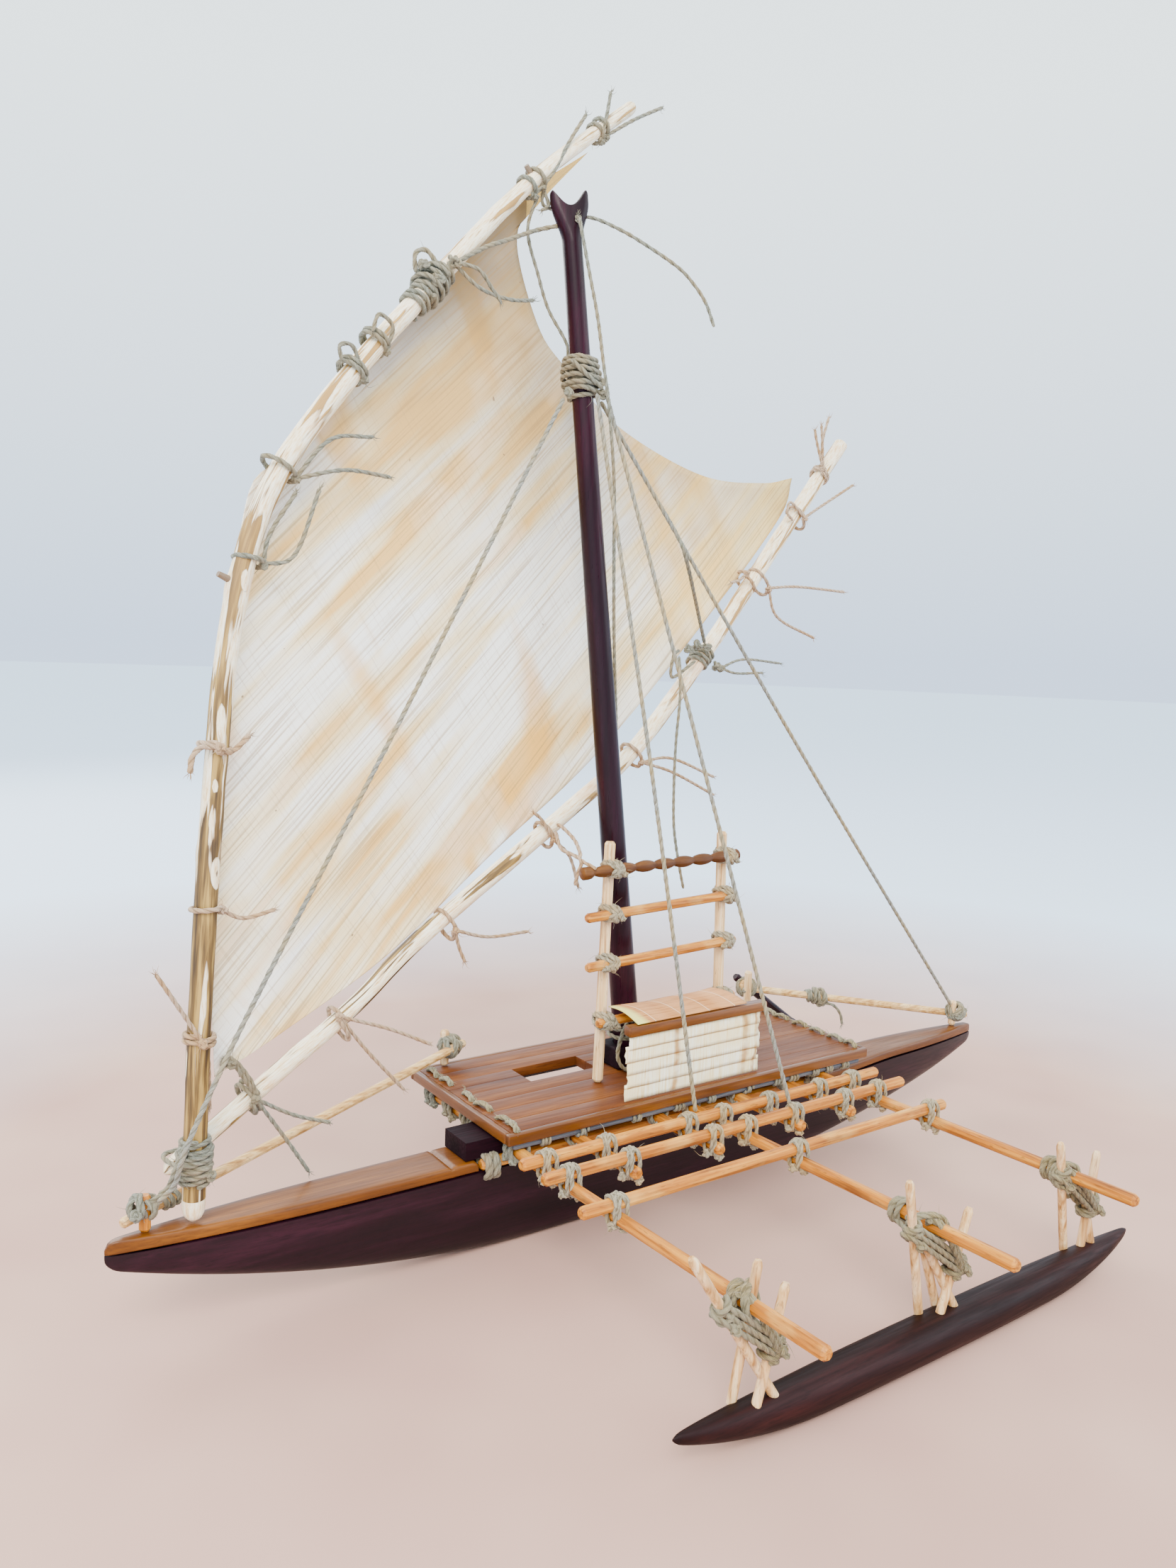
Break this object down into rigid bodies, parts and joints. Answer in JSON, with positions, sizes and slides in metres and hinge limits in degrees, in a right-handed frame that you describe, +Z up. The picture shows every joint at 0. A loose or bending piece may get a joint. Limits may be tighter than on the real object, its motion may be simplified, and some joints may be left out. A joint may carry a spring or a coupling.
{
  "type": "model outrigger sailing canoe",
  "caption": "Handmade wooden display model of an outrigger sailing canoe with a crab-claw sail, a deck platform with a small shelter, and a lashed float.",
  "frame": {"origin": "on the centreline at the middle of the hull's length, under the flat stretch of the keel, on the surface the model stands on", "axes": "bow towards -X, float on the -Y side, +Z up"},
  "size_m": [0.45, 0.263, 0.4699],
  "materials": {
    "dark_wood": "oiled dark red-brown wood, satin to glossy",
    "orange_wood": "varnished orange-brown wood",
    "golden_dowel": "lightly oiled round dowel",
    "pale_dowel": "bare pale round dowel",
    "branch": "peeled branch with strips of bark left on",
    "leaf_cloth": "thin cream leaf fibre with fine veins",
    "twine": "grey-beige twisted plant twine"
  },
  "bodies": {
    "canoe": {"hull": "dark_wood", "washstrake": "dark_wood", "float": "dark_wood", "mast": "dark_wood", "mast_fork": "dark_wood", "mast_step": "dark_wood", "deck_bow": "orange_wood", "deck_stern": "orange_wood", "platform": "orange_wood", "cabin_fascia": "orange_wood", "ladder_rung_carved": "orange_wood", "boom_fore": "golden_dowel", "boom_mid": "golden_dowel", "boom_aft": "golden_dowel", "short_pole_1": "golden_dowel", "short_pole_2": "golden_dowel", "short_pole_3": "golden_dowel", "short_pole_4": "golden_dowel", "stringer_inner": "golden_dowel", "stringer_middle": "golden_dowel", "stringer_outer": "golden_dowel", "gunwale_pole_near": "golden_dowel", "gunwale_pole_lee": "golden_dowel", "lee_pole_fore": "golden_dowel", "lee_pole_aft": "golden_dowel", "ladder_rung_1": "golden_dowel", "ladder_rung_2": "golden_dowel", "ladder_rung_3": "golden_dowel", "ladder_upright_fore": "pale_dowel", "ladder_upright_aft": "pale_dowel", "peg_platform_fore": "pale_dowel", "peg_platform_aft": "pale_dowel", "peg_bow": "pale_dowel", "peg_stern": "pale_dowel", "float_sticks_fore": "pale_dowel", "float_sticks_mid": "pale_dowel", "float_sticks_aft": "pale_dowel", "cabin_wall": "leaf_cloth", "cabin_roof": "leaf_cloth", "mast_collar": "twine", "stay_bow": "twine", "stay_stern": "twine", "stay_outrigger_fore": "twine", "stay_outrigger_aft": "twine", "deck_rod_1": "twine", "deck_rod_2": "twine", "deck_rod_3": "twine", "deck_rod_4": "twine"},
    "rig": {"yard": "branch", "boom_spar": "branch", "sail": "leaf_cloth"},
    "paddle": {"steering_paddle": "dark_wood"}
  },
  "joints": [
    {"name": "sail_swing", "type": "hinge", "parent": "canoe", "child": "rig", "pos_m": [-0.19641, -0.00187, 0.05], "axis": [0.2787, 0.0592, 0.9586], "range_deg": [0, 22]},
    {"name": "paddle_swing", "type": "hinge", "parent": "canoe", "child": "paddle", "pos_m": [0.1175, 0.0663, 0.0619], "axis": [0, -1, 0], "range_deg": [0, 30]}
  ]
}
